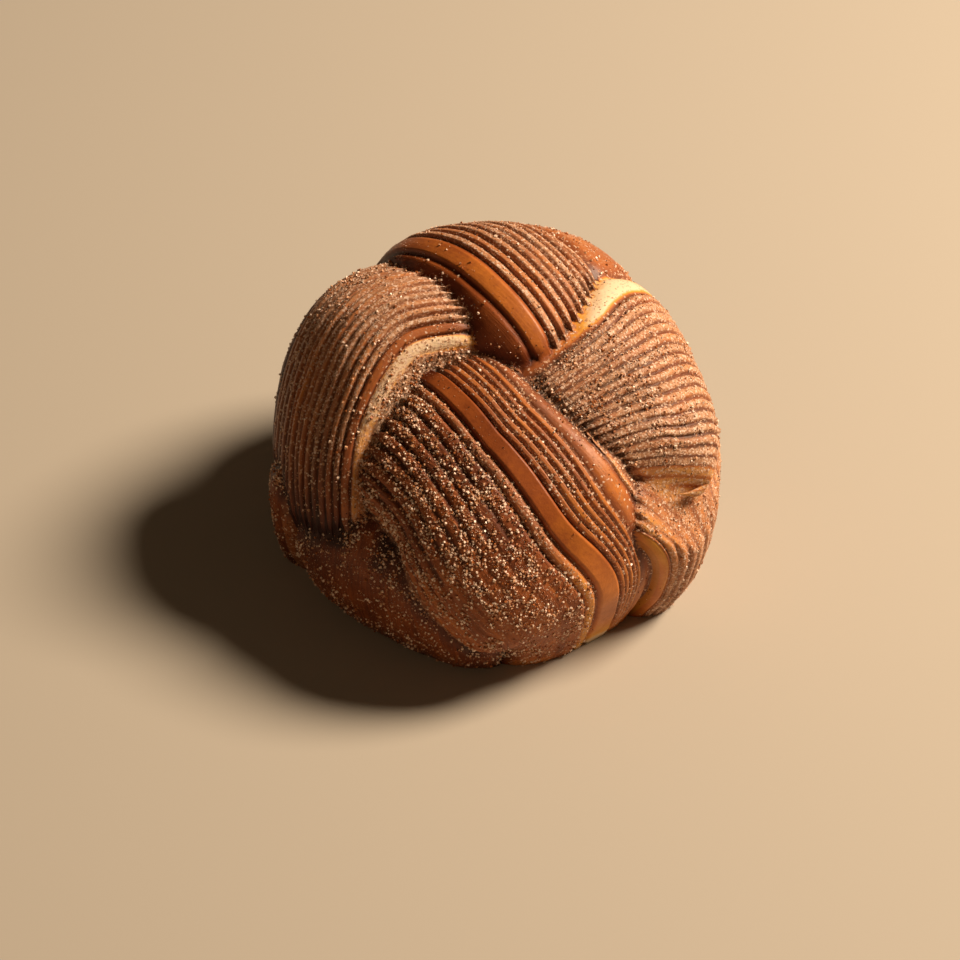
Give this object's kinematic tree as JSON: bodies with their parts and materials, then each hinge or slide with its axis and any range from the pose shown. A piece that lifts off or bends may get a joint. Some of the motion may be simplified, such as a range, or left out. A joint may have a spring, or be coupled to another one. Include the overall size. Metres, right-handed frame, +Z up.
{
  "type": "cardamom bun",
  "caption": "Woven cardamom bun: four fat ridged strands of laminated dough laid like a pinwheel over a rounded base, baked golden brown.",
  "frame": {"origin": "middle of the bun's box on the flat base it rests on", "axes": "+Z up, -Y towards the side where the front strand crosses down to the right, +X to that side's right"},
  "size_m": [0.0986, 0.1026, 0.0707],
  "materials": {
    "crust": "browned, lightly glazed dough crust with a rough dusting of sugar"
  },
  "bodies": {
    "root": {"bun": "crust"}
  },
  "joints": []
}
